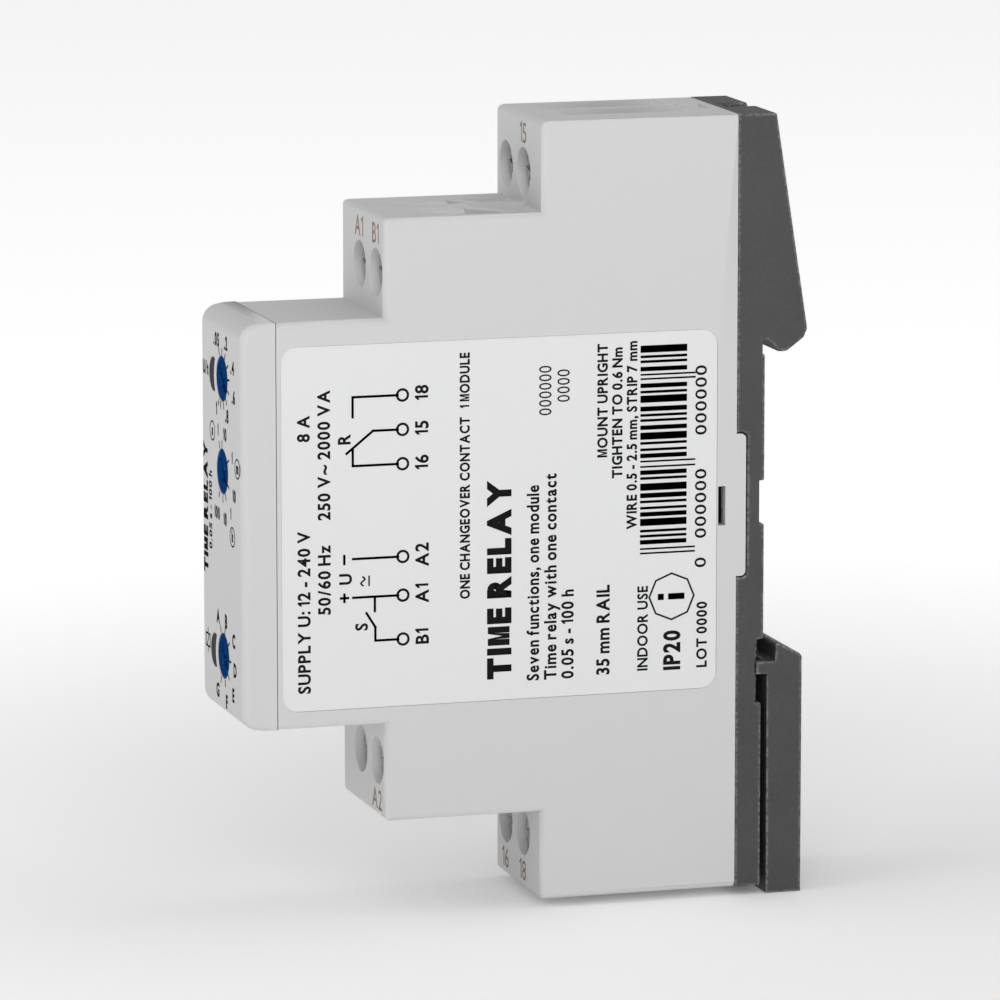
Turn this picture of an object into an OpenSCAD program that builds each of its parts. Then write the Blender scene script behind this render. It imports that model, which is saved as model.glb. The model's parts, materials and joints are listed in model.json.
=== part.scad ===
// Multifunction time relay, one module wide, for a 35 mm top-hat rail.
// X runs across the rail's length, +Y points to the wall, +Z is up. The origin is the centre of the
// rail seat, so every piece in front of the rail has a negative Y.

/* [Case] */
// Width of the module along the rail
body_w = 17.5; // [14.5:0.5:36]
// Height of the housing at the wall
body_h = 87; // [77:0.5:110]
// Distance from the rail seat to the front face
front_d = 60; // [52:0.5:80]
// Height that each inner terminal step loses to the outer step
row_rise = 10; // [9:0.5:12]
// Height that the front neck loses to each inner terminal step
neck_rise = 11; // [9.5:0.5:13]
// Wall of the housing
wall = 1.1; // [0.9:0.05:1.3]
// Depth of the front cap behind the front face
cap_d = 4; // [3.5:0.1:6]
// Thickness of the cap's face
cap_face_t = 1.2; // [1:0.1:1.6]
// Rounding of the cap's top and bottom front edges
cap_edge_r = 2; // [0.5:0.1:2.4]
// Thickness of the base plate
base_t = 3.3; // [3.2:0.1:4.5]
// Depth behind the outer terminals, for the base plate's rim
outer_back_room = 7.4; // [6:0.1:10]
// Gap between pieces that drop into each other
fit_gap = 0.1; // [0.05:0.01:0.15]

/* [Terminals] */
// Distance between the two terminals of a row
terminal_pitch = 6.7; // [6.4:0.1:7.2]
// Distance from a step's edge to its screw axis
terminal_drop = 6.3; // [6.1:0.1:7]
// Housing wall beside the inner row's right terminal
inner_row_side_wall = 0.85; // [0.7:0.05:1.2]
// Housing wall beside the outer row's left terminal
outer_row_side_wall = 1.15; // [0.9:0.05:1.3]
// Radius of the screwdriver hole
driver_hole_r = 2.3; // [2.2:0.05:2.45]
// Radius of the screwdriver hole's mouth
driver_mouth_r = 2.62; // [2.5:0.02:2.9]
// Depth at which the screw head starts
head_recess = 0.95; // [0.75:0.05:1.6]
// Radius of the screw head
head_r = 2; // [1.8:0.05:2.15]
// Height of the screw head
head_h = 2.25; // [1.8:0.05:2.6]
// Radius of the screw shank
shank_r = 1.45; // [1.2:0.05:1.5]
// Length of the screw shank
shank_len = 7; // [6.5:0.1:8.5]
// Depth of the screwdriver slot in a terminal screw
screw_slot_d = 0.9; // [0.6:0.1:1.1]
// Housing ledge that the screw head bears on
ledge_t = 0.8; // [0.6:0.1:1.2]
// Travel of a clamp cage from open to closed
cage_travel = 2.2; // [1.6:0.1:2.3]
// Outer width of a clamp cage
cage_w = 4.8; // [4.6:0.05:4.9]
// Outer height of a clamp cage
cage_h = 5.2; // [4.8:0.1:5.4]
// Front wall of a clamp cage, which the screw is threaded through
cage_front_t = 1.5; // [1.2:0.1:1.8]
// Back wall of a clamp cage, which presses on the wire
cage_back_t = 1; // [0.8:0.1:1.4]
// Side wall of a clamp cage
cage_side_t = 0.6; // [0.5:0.05:0.7]
// Room for the wire between the tongue and an open cage
wire_room = 2.9; // [2.4:0.1:3.2]
// Thickness of a terminal tongue
tongue_t = 0.8; // [0.5:0.1:1]
// Width of a terminal tongue
tongue_w = 3.2; // [2.4:0.1:3.3]
// Depth of the outer steps' wire entries, from front to back
wire_hole_d = 4.9; // [4.5:0.1:5]
// Depth of the inner steps' wire entries, from front to back
inner_hole_d = 4.3; // [4.1:0.1:4.4]
// Height that the rib between two inner wire entries stands above its step
rib_rise = 0.4; // [0.2:0.05:0.6]

/* [Front] */
// Place of the knobs across the face
knob_x = 0.5; // [-0.2:0.1:0.9]
// Radius of a setting knob
knob_r = 2.45; // [2:0.05:2.6]
// Distance from the cap's top edge to the time knob
time_knob_drop = 7.1; // [5.5:0.1:8]
// Distance from the time knob down to the range knob
range_knob_step = 10.3; // [6.4:0.1:11]
// Distance from the cap's bottom edge to the function knob
function_knob_rise = 7; // [5.5:0.1:8]
// Depth of the slot in a knob
knob_slot_d = 0.9; // [0.5:0.1:1.1]
// Radius of the crescent light windows
window_r = 1.9; // [1.5:0.1:2]
// Distance from a knob's axis to the middle of its light window
window_offset = 3.7; // [3.6:0.1:4]
// Radius around a knob that its light window stays out of
window_keep_r = 3.4; // [3:0.1:3.6]

/* [Rail fixing] */
// Height of the rail
rail_h = 35; // [32:0.5:37]
// Thickness of the rail
rail_t = 1; // [0.8:0.1:1.5]
// Distance that the hook reaches behind the rail seat
hook_reach = 4.9; // [4.4:0.1:5.5]
// Width of the slot in the top of the hook
hook_slot_w = 3.2; // [2:0.2:5]
// Travel of the rail slider from locked to released
slider_travel = 3; // [2:0.1:3.4]
// Thickness of the rail slider
slider_t = 4.15; // [3.6:0.05:4.8]
// Gap between the rail slider and the base plate
slider_gap = 0.45; // [0.3:0.05:0.6]
// Distance that the slider stands out below the housing
slider_drop = 0.95; // [0.5:0.05:3]
// Width of the flat spring's wire
spring_wire = 0.5; // [0.35:0.05:0.6]
// Number of bends in the flat spring
spring_bends = 7; // [5:1:9]

/* [Label] */
// Distance from the front face to the label
label_front = 4.6; // [4.2:0.1:8]
// Distance from the rail seat to the label's other edge
label_back = 5.65; // [5.65:0.05:10]
// Distance from the middle up to the label's top edge
label_top = 19.7; // [12:0.1:20.2]
// Distance from the middle down to the label's bottom edge
label_bottom = 20.5; // [12:0.1:21]
// Corner radius of the label
label_r = 1.8; // [1:0.1:3]
// Thickness of the label
label_t = 0.12; // [0.08:0.02:0.2]

/* [Electronics] */
// Thickness of both circuit boards
board_t = 1.6; // [1:0.1:1.6]
// Gap between the left housing wall and the main board
board_back_gap = 0.75; // [0.5:0.05:0.9]
// Distance from the front face to the front board
front_board_d = 12.4; // [12.4:0.1:14]
// Side of a trimmer's square body
trimmer_w = 6; // [5:0.1:6.2]
// Height of a trimmer's body
trimmer_h = 4.9; // [4.5:0.1:5.2]
// Radius of a trimmer's rotor
rotor_r = 1.9; // [1.6:0.05:2.2]
// Length of the relay
relay_l = 28; // [26.8:0.1:28.4]
// Width of the relay
relay_w = 12.4; // [11:0.1:12.8]
// Height of the relay above its board
relay_h = 10.1; // [10:0.1:11.5]
// Radius of the large capacitor
big_capacitor_r = 5; // [3:0.1:5]
// Radius of the small capacitor
small_capacitor_r = 3.15; // [2:0.05:3.6]

/* [Hidden] */
$fn = 48;
eps = 0.01;

// The chain of depths inside one terminal, counted from the face of its step.
head_end = head_recess + head_h;
ledge_start = head_end + 0.05;
chamber_start = ledge_start + ledge_t;
cage_start = chamber_start + cage_travel + 0.15;
tongue_start = head_end + shank_len + 0.2;
tongue_end = tongue_start + tongue_t;
cage_end = tongue_end + wire_room + cage_back_t;
chamber_end = cage_end + fit_gap;
chamber_w = cage_w + 0.4;
chamber_h = cage_h + 0.8;
wire_hole_start = tongue_start - 0.5;
wire_hole_w = cage_w;
inner_hole_start = tongue_start + 0.3;

// The trough round an inner wire entry: two round cutters that slope down to the entry, held to the
// trough's width and to its sloping back.
trough_w = 5.3;
trough_start = inner_hole_start - 5.7;
trough_r = wire_hole_w / 2;
trough_slope = 13;
lip_r = 4;
lip_slope = 8;
trough_floor = chamber_h / 2 - 0.5;
trough_back = chamber_end - 0.2;

// The steps of the housing, from the wall to the front.
outer_face = -(base_t + outer_back_room + chamber_end);
row_back_wall = 2.7;
inner_face = outer_face - row_back_wall - chamber_end;
front_y = -front_d;
seam_y = front_y + cap_d;
half_w = body_w / 2;
outer_top = body_h / 2;
inner_top = outer_top - row_rise;
neck_top = inner_top - neck_rise;

// The cavities inside the housing.
room_w = half_w - wall;
neck_room = neck_top - wall;
outer_room = outer_top - terminal_drop - chamber_h / 2 - 2.3;
rim_room = outer_top - 1.2;
neck_room_back = inner_face + chamber_end + 1.2;
base_rim = 3.6;
rim_room_front = -(base_t + base_rim + 0.3);

// Terminals: row 0 is the inner step, row 1 the outer one; side 0 is left, 1 right; end 1 is the
// top and -1 the bottom.
A1 = [0, 0, 1];
B1 = [0, 1, 1];
SPARE_TOP = [1, 0, 1];
T15 = [1, 1, 1];
SPARE_BOTTOM = [0, 0, -1];
A2 = [0, 1, -1];
T16 = [1, 0, -1];
T18 = [1, 1, -1];
TERMINALS = [A1, B1, SPARE_TOP, T15, SPARE_BOTTOM, A2, T16, T18];

inner_right_x = half_w - inner_row_side_wall - chamber_w / 2;
outer_left_x = -(half_w - outer_row_side_wall - chamber_w / 2);
function term_x(t) = t[0] == 0
    ? inner_right_x - (1 - t[1]) * terminal_pitch
    : outer_left_x + t[1] * terminal_pitch;
function term_face(t) = t[0] == 0 ? inner_face : outer_face;
function term_top(t) = t[0] == 0 ? inner_top : outer_top;
function term_z(t) = term_top(t) - terminal_drop;
function term_room(t) = t[0] == 0 ? neck_room : outer_room;

// Front pieces.
time_z = neck_top - time_knob_drop;
range_z = time_z - range_knob_step;
function_z = -(neck_top - function_knob_rise);
cap_back = front_y + cap_face_t;
rim_t = 0.9;
cap_rim_end = seam_y + 2.8;
cap_room_w = room_w - fit_gap - rim_t;
cap_room_h = neck_room - fit_gap - rim_t;
knob_face = front_y + 0.05;
knob_flange_start = cap_back + 0.15;
knob_flange_end = knob_flange_start + 0.75;
knob_flange_r = knob_r + 0.35;
knob_stem_r = 1.5;
knob_key = [2.4, 0.8];

// Boards.
front_board_front = front_y + front_board_d;
front_board_back = front_board_front + board_t;
board_left = -room_w + board_back_gap;
board_face = board_left + board_t;
board_front = front_board_back + fit_gap;
board_step = neck_room_back + 0.4;
board_back = -(base_t + 3.8);
trimmer_front = front_board_front - trimmer_h;
rotor_front = trimmer_front - 0.4;
rotor_len = 2.5;
key_end = rotor_front + 1;
led_x = knob_x - window_offset - 1;
led_r = 1.5;
led_len = 5.6;
guide_r = 1.65;
guide_end = front_board_front - led_len - 0.4;

// Rail hook, slider and the slider's guide.
rail_top = rail_h / 2;
notch_top = rail_top + 0.8;
hook_tip_low = rail_top - 0.6;
hook_top_y = 1.2;
catch_top = -(rail_top - 1.5);
catch_floor = -(rail_top + 0.5);
slider_back = slider_gap + slider_t;
slider_bottom = -(outer_top + slider_drop);
stem_w = 6.4;
head_w = 9.2;
guide_gap = 0.15;
lip_t = 0.9;
seat_relief = 0.25;
seat_margin = 0.2;
guide_floor = -2.3;
guide_top = -(rail_top + 3.3);
key_top = guide_top - 0.2;
spring_top = key_top - 4;
spring_len = 12;
spring_bottom = spring_top - spring_len;
spring_stop_t = 1;
spring_w = 4.6;
spring_t = 0.7;
spring_room_w = spring_w + 0.6;
pocket_top = -(rail_top - 2.1);
pocket_d = 1;
lug_t = 1.2;
lug_h = 1.4;
pocket_bottom = catch_floor - lug_h - slider_travel - 0.2;

// Back edge tab and the latches that hold the base plate.
tab_top = 7.9;
tab_bottom = -8.1;
tab_len = 1.1;
latch_z = -0.1;
latch_h = 4.4;
latch_y = -(base_t + 1.7);
latch_d = 0.85;
top_latch_w = 1.1;
top_latch_l = 1;
top_latch_y = -(base_t + 2.7);
top_recess = [3.5, 3.2, 0.35];
latch_rise = 0.7;

// Pieces on the main board: those in the neck are placed from its front edge, the others from its
// back edge.
HEADER_PINS = 8;
header_pitch = 2.54;
header_x = board_face + 1.3;
pin_w = 0.6;
microcontroller_y = board_front + 5.4;
rectifier_y = board_front + 5.8;
supply_capacitor_y = board_front + 13.3;
output_capacitor_y = board_front + 12.9;
resistor_y = board_front + 13.2;
film_capacitor_y = board_back - 2.7;
varistor_y = board_back - 13.8;
transformer_y = board_back - 11.5;
transformer_z = 11.6;
transformer_mid = 5.2;

// Relay: its length runs along Z and its height along X, off the main board.
relay_y = board_back - 11.9;
relay_z = -12;
relay_skin = 0.6;
relay_room_h = relay_h - relay_skin;
relay_floor = 1.6;
coil_h = 4.9;
coil_low = -relay_l / 2 + 1.5;
coil_high = coil_low + 14;
pole_z = coil_high + 0.95;
armature_z = pole_z + 0.75;
armature_t = 1;
yoke_in = 8.2;
yoke_t = 1;
arm_h = 6.9;
arm_t = 0.3;
contact_z = armature_z + 7.6;
contact_r = 0.9;

module at_terminal(t) {
    translate([term_x(t), term_face(t), t[2] * term_z(t)])
        if (t[2] > 0) children();
        else mirror([0, 0, 1]) children();
}

// A cylinder along +Y from depth y0 to y1.
module rod_y(r, y0, y1) {
    translate([0, y0, 0]) rotate([-90, 0, 0]) cylinder(r = r, h = y1 - y0);
}

// A cone along +Y, r0 at depth y0 and r1 at y1.
module cone_y(r0, r1, y0, y1) {
    translate([0, y0, 0]) rotate([-90, 0, 0]) cylinder(r1 = r0, r2 = r1, h = y1 - y0);
}

// A block centred on X, from y0 to y1 and z0 to z1.
module block(w, y0, y1, z0, z1) {
    translate([-w / 2, y0, z0]) cube([w, y1 - y0, z1 - z0]);
}

// A flat outline drawn in (Y, Z), extruded to width w, centred on X.
module side_extrude(w) {
    translate([-w / 2, 0, 0]) rotate([90, 0, 90]) linear_extrude(height = w) children();
}

// A rectangle with round corners, from (x0, y0) to (x1, y1).
module round_rect(x0, y0, x1, y1, r) {
    translate([x0 + r, y0]) square([x1 - x0 - 2 * r, y1 - y0]);
    translate([x0, y0 + r]) square([x1 - x0, y1 - y0 - 2 * r]);
    for (x = [x0 + r, x1 - r], y = [y0 + r, y1 - r]) translate([x, y]) circle(r = r);
}

// ---- Housing ----

module housing_outline() {
    translate([seam_y, -neck_top]) square([-base_t - seam_y, 2 * neck_top]);
    translate([inner_face, -inner_top]) square([-base_t - inner_face, 2 * inner_top]);
    translate([outer_face, -outer_top]) square([-base_t - outer_face, 2 * outer_top]);
}

// Screwdriver hole, clamp chamber, tongue slot and wire entry of one terminal.
module terminal_cut(t) {
    room_drop = term_z(t) - term_room(t);
    cone_y(driver_mouth_r, driver_hole_r, -eps, head_recess);
    rod_y(driver_hole_r, -eps, ledge_start);
    rod_y(shank_r + 0.15, 0, chamber_start + eps);
    block(chamber_w, chamber_start, chamber_end, -chamber_h / 2, chamber_h / 2);
    block(tongue_w + 2 * fit_gap, tongue_start - fit_gap, tongue_end + fit_gap,
          -room_drop - eps, 0);
    if (t[0] == 1) outer_funnel();
    else inner_trough();
}

// Wire entry and its rectangular funnel with sloping ends, on the outer steps.
module outer_funnel() {
    low = chamber_h / 2 + 0.6;
    block(wire_hole_w, wire_hole_start, wire_hole_start + wire_hole_d, 0, terminal_drop);
    side_extrude(wire_hole_w) polygon([
        [wire_hole_start, low], [wire_hole_start + wire_hole_d, low],
        [wire_hole_start + wire_hole_d + 3.2, terminal_drop + eps],
        [wire_hole_start - 5.4, terminal_drop + eps]
    ]);
}

// Wire entry and its round trough, on the inner steps.
module inner_trough() {
    block(wire_hole_w, inner_hole_start, inner_hole_start + inner_hole_d, 0, terminal_drop);
    intersection() {
        union() {
            sloping_rod(trough_r, trough_slope, trough_start + 0.5);
            sloping_rod(lip_r, lip_slope, trough_start);
        }
        side_extrude(trough_w) polygon([
            [0, trough_floor], [trough_back, trough_floor],
            [chamber_end + row_back_wall - 0.1, terminal_drop],
            [chamber_end + row_back_wall - 0.1, terminal_drop + 2 * lip_r],
            [0, terminal_drop + 2 * lip_r]
        ]);
    }
}

// A round cutter that touches the step at depth y and slopes down from there.
module sloping_rod(r, slope, y) {
    translate([0, y, terminal_drop]) rotate([-slope, 0, 0]) translate([0, 0, r]) rod_y(r, -8, 26);
}

// The rib between the two wire entries of an inner step, which rises from the troughs' start.
module inner_rib() {
    start = inner_face + trough_start + 0.6;
    translate([(term_x(A1) + term_x(B1)) / 2, 0, 0])
        side_extrude(terminal_pitch - trough_w) polygon([
            [start, inner_top - 1], [start, inner_top], [start + 5.5, inner_top + rib_rise],
            [outer_face + 1, inner_top + rib_rise], [outer_face + 1, inner_top - 1]
        ]);
}

module housing() {
    color("gainsboro") difference() {
        union() {
            side_extrude(body_w) housing_outline();
            for (s = [-1, 1]) translate([s * (half_w - wall / 2), 0, 0])
                side_extrude(wall) back_tab(0);
            inner_rib();
            mirror([0, 0, 1]) inner_rib();
        }
        block(2 * room_w, seam_y - 1, neck_room_back + 1, -neck_room, neck_room);
        block(2 * room_w, neck_room_back, 0, -outer_room, outer_room);
        block(2 * room_w, rim_room_front, 0, -rim_room, rim_room);
        for (t = TERMINALS) at_terminal(t) terminal_cut(t);
        label_recess();
        for (s = [-1, 1]) translate([s * half_w, 0, 0])
            block(2 * wall + 1, latch_y - latch_d / 2, latch_y + latch_d / 2,
                  latch_z - latch_h / 2, latch_z + latch_h / 2);
        for (s = [-1, 1]) translate([0, 0, s * outer_top]) {
            block(top_latch_w, top_latch_y - top_latch_l / 2, top_latch_y + top_latch_l / 2, -3, 3);
            block(top_recess[0], top_latch_y - top_recess[1] / 2, top_latch_y + top_recess[1] / 2,
                  -top_recess[2], top_recess[2]);
        }
    }
}

// The side walls' tab into the base plate, grown by gap g for the notch that takes it.
module back_tab(g) {
    round_rect(-base_t - 3, tab_bottom - g, -base_t + tab_len + g, tab_top + g, 0.6);
}

module label_recess() {
    translate([half_w - label_t - 0.05, 0, 0]) rotate([90, 0, 90]) linear_extrude(height = 2)
        round_rect(front_y + label_front - fit_gap, -label_bottom - fit_gap,
                   -label_back + fit_gap, label_top + fit_gap, label_r + fit_gap);
}

module rating_label() {
    color("whitesmoke")
        translate([half_w - label_t - 0.05, 0, 0]) rotate([90, 0, 90])
            linear_extrude(height = label_t)
                round_rect(front_y + label_front, -label_bottom, -label_back, label_top, label_r);
}

// ---- Front cap, knobs and light guides ----

module window_outline(g) {
    difference() {
        translate([knob_x - window_offset, 0]) circle(r = window_r + g);
        translate([knob_x, 0]) circle(r = window_keep_r - g);
    }
}

module front_cap() {
    color("gainsboro") difference() {
        union() {
            side_extrude(body_w) {
                translate([front_y + cap_edge_r, -neck_top])
                    square([cap_d - cap_edge_r, 2 * neck_top]);
                translate([front_y, -neck_top + cap_edge_r])
                    square([cap_d, 2 * (neck_top - cap_edge_r)]);
                for (s = [-1, 1]) translate([front_y + cap_edge_r, s * (neck_top - cap_edge_r)])
                    circle(r = cap_edge_r);
            }
            block(2 * (room_w - fit_gap), cap_back, cap_rim_end,
                  -neck_room + fit_gap, neck_room - fit_gap);
        }
        block(2 * cap_room_w, cap_back, cap_rim_end + 1, -cap_room_h, cap_room_h);
        for (z = [time_z, range_z, function_z]) translate([knob_x, 0, z])
            rod_y(knob_r + fit_gap, front_y - 1, cap_back + 1);
        for (z = [time_z, function_z]) translate([0, front_y - 1, z]) rotate([-90, 0, 0])
            linear_extrude(height = cap_face_t + 2) window_outline(0);
    }
}

module light_guide(z) {
    color([0.24, 0.23, 0.22]) union() {
        translate([0, front_y + 0.05, z]) rotate([-90, 0, 0])
            linear_extrude(height = cap_face_t - 0.05 + eps) window_outline(-0.06);
        translate([led_x, 0, z]) rod_y(guide_r, cap_back, guide_end);
    }
}

module led(z, tint) {
    color(tint) translate([led_x, 0, z]) union() {
        rod_y(led_r, front_board_front - led_len + led_r, front_board_front);
        translate([0, front_board_front - led_len + led_r, 0]) sphere(r = led_r);
        rod_y(led_r + 0.1, front_board_front - 1, front_board_front);
    }
}

// A knob is turned by screwdriver. Its arrow points down and to the right at rest.
module knob(z) {
    color([0.08, 0.27, 0.55]) translate([knob_x, 0, z]) difference() {
        union() {
            rod_y(knob_r, knob_face, knob_flange_start + eps);
            rod_y(knob_flange_r, knob_flange_start, knob_flange_end);
            rod_y(knob_stem_r, knob_flange_start, rotor_front - fit_gap);
            block(knob_key[0], knob_flange_end, key_end - fit_gap,
                  -knob_key[1] / 2, knob_key[1] / 2);
        }
        rotate([0, 45, 0]) {
            block(2 * knob_r - 0.9, knob_face - 1, knob_face + knob_slot_d, -0.4, 0.4);
            translate([0, knob_face + 0.5, 0]) rotate([90, 0, 0]) linear_extrude(height = 2)
                polygon([[knob_r - 0.35, 0], [0.3, 1.15], [0.3, -1.15]]);
        }
    }
}

module rotor(z) {
    color("tan") translate([knob_x, 0, z]) difference() {
        rod_y(rotor_r, rotor_front, rotor_front + rotor_len);
        block(knob_key[0] + 0.2, rotor_front - 1, key_end,
              -knob_key[1] / 2 - fit_gap, knob_key[1] / 2 + fit_gap);
    }
}

module trimmer(z) {
    color("royalblue") translate([knob_x, 0, z]) difference() {
        block(trimmer_w, trimmer_front, front_board_front, -trimmer_w / 2, trimmer_w / 2);
        rod_y(rotor_r + 0.05, trimmer_front - 1, rotor_front + rotor_len + 0.1);
    }
}

// ---- Base plate, slider and spring ----

module hook_outline() {
    tip_r = 0.7;
    translate([-base_t, -outer_top]) square([base_t, body_h]);
    polygon([
        [-base_t, notch_top], [rail_t - 0.6, notch_top], [rail_t + 0.25, rail_top - 0.2],
        [rail_t + 0.45, hook_tip_low], [rail_t + 1.5, hook_tip_low],
        [hook_reach - 0.35, notch_top + 0.1], [hook_reach, notch_top + 1.2],
        [hook_top_y, outer_top], [-base_t, outer_top]
    ]);
    translate([hook_reach - tip_r, notch_top + 1.1]) circle(r = tip_r);
}

module base_plate() {
    color([0.3, 0.3, 0.3]) difference() {
        union() {
            side_extrude(body_w) hook_outline();
            difference() {
                block(2 * (room_w - fit_gap), -base_t - base_rim, -base_t + eps,
                      -rim_room + fit_gap, rim_room - fit_gap);
                block(2 * (room_w - fit_gap - 1), -base_t - base_rim - 1, -base_t,
                      -rim_room + fit_gap + 1, rim_room - fit_gap - 1);
            }
            for (s = [-1, 1]) translate([s * (room_w - fit_gap), 0, 0])
                block(1.5, latch_y - latch_d / 2 + fit_gap, latch_y + latch_d / 2 - fit_gap,
                      latch_z - latch_h / 2 + fit_gap, latch_z + latch_h / 2 - fit_gap);
            for (s = [-1, 1]) translate([0, 0, s * (rim_room - fit_gap)])
                block(top_latch_w - 2 * fit_gap, top_latch_y - top_latch_l / 2 + fit_gap,
                      top_latch_y + top_latch_l / 2 - fit_gap, -latch_rise, latch_rise);
        }
        for (s = [-1, 1]) translate([s * half_w, 0, 0])
            side_extrude(2 * (wall + fit_gap)) intersection() {
                back_tab(0.15);
                translate([-base_t - eps, -outer_top]) square([base_t + 2, body_h]);
            }
        hook_top_slot();
        slider_guide();
        // The seat ends clear of the hook's tip, so the rail's edge never rides on the corner.
        block(body_w + 1, -seat_relief, eps, hook_tip_low - seat_margin, notch_top);
        for (s = [-1, 1]) translate([s * half_w, 0, 0]) {
            block(9.4, -0.55, 1, -2.35, 2.5);
            block(2.9, -pocket_d, 1, pocket_bottom, pocket_top);
        }
    }
}

module hook_top_slot() {
    block(hook_slot_w, -base_t + 1, hook_reach, outer_top - 3, outer_top + 1);
}

// Grooves behind the rail seat that the slider's key runs in, and the stop for its spring.
module slider_guide() {
    difference() {
        union() {
            block(stem_w + 2 * guide_gap, guide_floor, 1, -outer_top - 1, guide_top);
            block(head_w + 2 * guide_gap, guide_floor, -lip_t, -outer_top - 1, guide_top);
        }
        block(spring_w, guide_floor - 1, guide_floor + 1.05,
              spring_bottom - spring_stop_t, spring_bottom);
    }
    block(body_w + 1, -seat_relief, 1, -outer_top - 1, catch_top + seat_margin);
}

module slider_outline() {
    polygon([
        [slider_gap, slider_bottom], [slider_back, slider_bottom],
        [slider_back, catch_top - 1.6], [slider_back - 0.35, catch_top - 1.25],
        [rail_t + 0.75, catch_top], [rail_t + 0.5, catch_top - 0.15],
        [rail_t + 0.4, catch_floor], [slider_gap, catch_floor]
    ]);
}

module rail_slider() {
    color([0.3, 0.3, 0.3]) difference() {
        union() {
            side_extrude(body_w) slider_outline();
            block(stem_w, -lip_t - guide_gap, slider_gap + eps, slider_bottom + 2, key_top);
            block(head_w, guide_floor + guide_gap, -lip_t - guide_gap + eps,
                  slider_bottom + 2, key_top);
            for (s = [-1, 1]) translate([s * (half_w - lug_t / 2), 0, 0])
                block(lug_t, -pocket_d + guide_gap, slider_gap + eps,
                      catch_floor - lug_h, catch_floor);
        }
        block(spring_room_w, guide_floor - 1, -lip_t - guide_gap,
              spring_bottom - spring_stop_t - 0.2, spring_top);
        block(6, slider_gap + 1.4, slider_gap + 2.8, slider_bottom - 1, slider_bottom + 4);
    }
}

// Flat meander spring between the base plate's stop and the top of the slider's pocket.
module slider_spring() {
    pitch = (spring_len - 2 * fit_gap - spring_wire) / (spring_bends + 1);
    run = spring_w - 0.4;
    color("silver") translate([0, guide_floor + guide_gap + 0.2 + spring_t, 0])
        rotate([90, 0, 0]) linear_extrude(height = spring_t)
            for (i = [0 : spring_bends + 1]) {
                z = spring_bottom + fit_gap + i * pitch;
                translate([-run / 2, z]) square([run, spring_wire]);
                side = i % 2 == 0 ? 1 : -1;
                if (i <= spring_bends)
                    translate([side * (run - spring_wire) / 2 - spring_wire / 2, z])
                        square([spring_wire, pitch + spring_wire]);
            }
}

// ---- Terminals ----

module screw(t) {
    color("silver") at_terminal(t) difference() {
        union() {
            rod_y(head_r, head_recess, head_end);
            rod_y(shank_r, head_end - eps, head_end + shank_len);
        }
        for (a = [0, 90]) rotate([0, a + 20, 0])
            block(2 * head_r - (a == 0 ? -1 : 1.4), head_recess - 1,
                  head_recess + screw_slot_d, -0.4, 0.4);
    }
}

module cage(t) {
    color("lightgray") at_terminal(t) difference() {
        block(cage_w, cage_start, cage_end, -cage_h / 2, cage_h / 2);
        block(cage_w - 2 * cage_side_t, cage_start + cage_front_t, cage_end - cage_back_t,
              -cage_h, cage_h);
        rod_y(shank_r + 0.05, cage_start - 1, cage_start + cage_front_t + 1);
    }
}

// One busbar per terminal, from its cage through the housing wall to the main board.
module terminal_tongues() {
    bar_h = 2;
    color("goldenrod") for (t = TERMINALS) {
        bar_top = term_room(t) - 0.3 - t[1] * (bar_h + 0.3);
        y = term_face(t) + tongue_start;
        reach = term_z(t) + cage_h / 2 - 0.3 - bar_top;
        mirror([0, 0, t[2] > 0 ? 0 : 1]) union() {
            translate([term_x(t) - tongue_w / 2, y, bar_top]) cube([tongue_w, tongue_t, reach]);
            translate([board_face, y, bar_top - bar_h])
                cube([term_x(t) + tongue_w / 2 - board_face, tongue_t, bar_h]);
            translate([board_left - 0.4, y, bar_top - bar_h / 2 - 0.5])
                cube([board_t + 0.4 + eps, tongue_t, 1]);
        }
    }
}

// ---- Boards and what is on them ----

module main_board() {
    color("darkgreen") difference() {
        translate([board_left, 0, 0]) rotate([90, 0, 90]) linear_extrude(height = board_t) {
            translate([board_front, -neck_room + 0.4])
                square([board_back - board_front, 2 * neck_room - 0.8]);
            translate([board_step, -outer_room + 0.5])
                square([board_back - board_step, 2 * outer_room - 1]);
        }
        for (t = TERMINALS) {
            bar_top = term_room(t) - 0.3 - t[1] * 2.3;
            translate([board_left - 1, term_face(t) + tongue_start - fit_gap,
                       t[2] * (bar_top - 1) - 0.6])
                cube([board_t + 2, tongue_t + 2 * fit_gap, 1.2]);
        }
    }
}

function header_z(i) = (i - (HEADER_PINS - 1) / 2) * header_pitch;

module front_board() {
    color("darkgreen") difference() {
        block(2 * (room_w - 0.35), front_board_front, front_board_back,
              -neck_room + 0.5, neck_room - 0.5);
        for (i = [0 : HEADER_PINS - 1]) translate([header_x, 0, header_z(i)])
            block(pin_w + 0.2, front_board_front - 1, front_board_back + 1,
                  -pin_w / 2 - 0.1, pin_w / 2 + 0.1);
    }
}

module board_header() {
    half = HEADER_PINS * header_pitch / 2;
    color("black") translate([header_x, 0, 0]) union() {
        block(2.6, front_board_back, front_board_back + 2.5, -half, half);
        for (i = [0 : HEADER_PINS - 1])
            block(pin_w, front_board_front - 0.6, front_board_back + 1,
                  header_z(i) - pin_w / 2, header_z(i) + pin_w / 2);
    }
}

// A block standing on the main board: x height h, centred on (y, z).
module on_board(h, w, l, y, z, lift = 0) {
    translate([board_face + lift, y - w / 2, z - l / 2]) cube([h - lift, w, l]);
}

module microcontroller() {
    z = 5;
    color("dimgray") union() {
        on_board(1.9, 3.9, 8.7, microcontroller_y, z, 0.2);
        for (i = [-3 : 3], s = [-1, 1])
            on_board(1, 1.1, 0.42, microcontroller_y + s * 2.3, z + i * 1.27);
    }
}

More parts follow.
